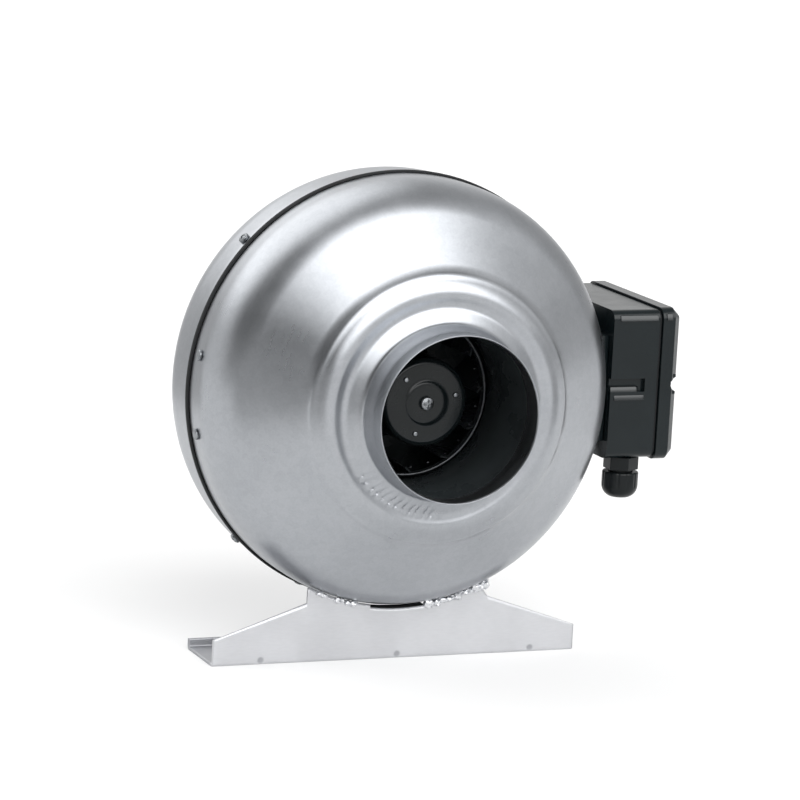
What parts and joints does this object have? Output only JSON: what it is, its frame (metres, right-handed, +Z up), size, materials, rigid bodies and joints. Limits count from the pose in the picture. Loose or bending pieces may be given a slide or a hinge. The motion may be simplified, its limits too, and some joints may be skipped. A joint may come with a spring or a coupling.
{
  "type": "inline duct fan",
  "caption": "Inline duct fan with two pressed steel half shells, round spigots front and back, a folded foot, a centrifugal impeller and a side terminal box.",
  "frame": {"origin": "on the foot's underside, below the fan axis, in the plane of the seam between the half shells", "axes": "+Y along the fan axis from inlet to outlet, +Z up, +X towards the terminal box"},
  "size_m": [0.3028, 0.2155, 0.2881],
  "materials": {
    "galvanised": "satin galvanised sheet with a faint crystal grain",
    "foot_steel": "pale matt zinc-coated sheet",
    "zinc_screw": "dull zinc plate",
    "bright_steel": "turned bright steel",
    "black_paint": "satin black paint",
    "black_plastic": "finely textured satin moulding",
    "rubber": "matt",
    "lead_sheath": "smooth cable sheath",
    "lamination": "stacked lamination edges",
    "copper": "varnished copper wire",
    "capacitor_white": "plain moulded can",
    "nylon": "natural nylon"
  },
  "bodies": {
    "casing": {"front_shell": "galvanised", "rear_shell": "galvanised", "seam_gasket": "rubber", "casing_screw_1": "zinc_screw", "casing_screw_2": "zinc_screw", "casing_screw_3": "zinc_screw", "casing_screw_4": "zinc_screw", "casing_screw_5": "zinc_screw", "casing_screw_6": "zinc_screw", "bracket_rivet_1": "zinc_screw", "bracket_rivet_2": "zinc_screw", "inlet_nozzle": "black_paint", "foot_bracket": "foot_steel", "motor_bracket": "galvanised", "motor_flange": "bright_steel", "stator_core": "lamination", "front_winding": "copper", "rear_winding": "copper", "front_bearing": "bright_steel", "rear_bearing": "bright_steel", "motor_screw_1": "zinc_screw", "motor_screw_2": "zinc_screw", "motor_screw_3": "zinc_screw", "box_saddle": "black_plastic", "box_screw_1": "zinc_screw", "box_screw_2": "zinc_screw", "box_base": "black_plastic", "run_capacitor": "capacitor_white", "terminal_block": "nylon", "gland_body": "black_plastic", "gland_locknut": "black_plastic", "gland_seal": "rubber", "lead_grommet": "rubber", "motor_lead": "lead_sheath"},
    "rotor": {"rotor_can": "black_paint", "rotor_hub": "bright_steel", "motor_shaft": "bright_steel", "hub_screw": "bright_steel", "rotor_rivet_1": "zinc_screw", "rotor_rivet_2": "zinc_screw", "rotor_rivet_3": "zinc_screw", "impeller_back_plate": "black_paint", "impeller_front_plate": "black_paint", "impeller_blade_1": "black_paint", "impeller_blade_2": "black_paint", "impeller_blade_3": "black_paint", "impeller_blade_4": "black_paint", "impeller_blade_5": "black_paint", "impeller_blade_6": "black_paint", "impeller_blade_7": "black_paint", "impeller_blade_8": "black_paint", "impeller_blade_9": "black_paint", "impeller_blade_10": "black_paint", "impeller_blade_11": "black_paint", "impeller_blade_12": "black_paint"},
    "box_lid": {"box_lid": "black_plastic", "lid_seal": "rubber", "lid_screw_1": "zinc_screw", "lid_screw_2": "zinc_screw"},
    "gland_nut": {"gland_nut": "black_plastic"}
  },
  "joints": [
    {"name": "impeller_spin", "type": "hinge", "parent": "casing", "child": "rotor", "pos_m": [0, 0, 0.159], "axis": [0, 1, 0], "continuous": true},
    {"name": "lid_lift", "type": "slide", "parent": "casing", "child": "box_lid", "axis": [1, 0, 0], "range_m": [0, 0.05]},
    {"name": "gland_nut_turn", "type": "hinge", "parent": "casing", "child": "gland_nut", "pos_m": [0.1457, -0.0145, 0.1], "axis": [0, 0, 1], "range_deg": [0, 360]}
  ]
}
